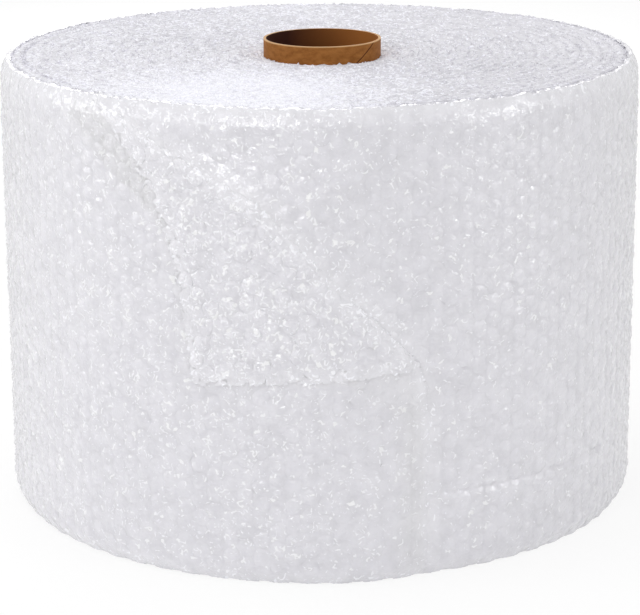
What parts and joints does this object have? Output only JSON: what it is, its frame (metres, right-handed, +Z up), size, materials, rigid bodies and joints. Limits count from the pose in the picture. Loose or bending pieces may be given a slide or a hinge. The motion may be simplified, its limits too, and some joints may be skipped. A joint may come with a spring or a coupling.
{
  "type": "bubble wrap roll",
  "caption": "Roll of clear bubble wrap wound on a plain cardboard core and standing on end, with its free end laid down and its top corner folded over.",
  "frame": {"origin": "on the core's axis at the bottom end of the core and the film, on the floor", "axes": "+Z up along the core's axis, -Y toward the front with the folded corner, +X to the right of that front"},
  "size_m": [0.4313, 0.4401, 0.312],
  "materials": {
    "core_tube": "matte",
    "bubble_wrap": "gloss"
  },
  "bodies": {
    "root": {"core_tube": "core_tube", "bubble_wrap": "bubble_wrap"}
  },
  "joints": []
}
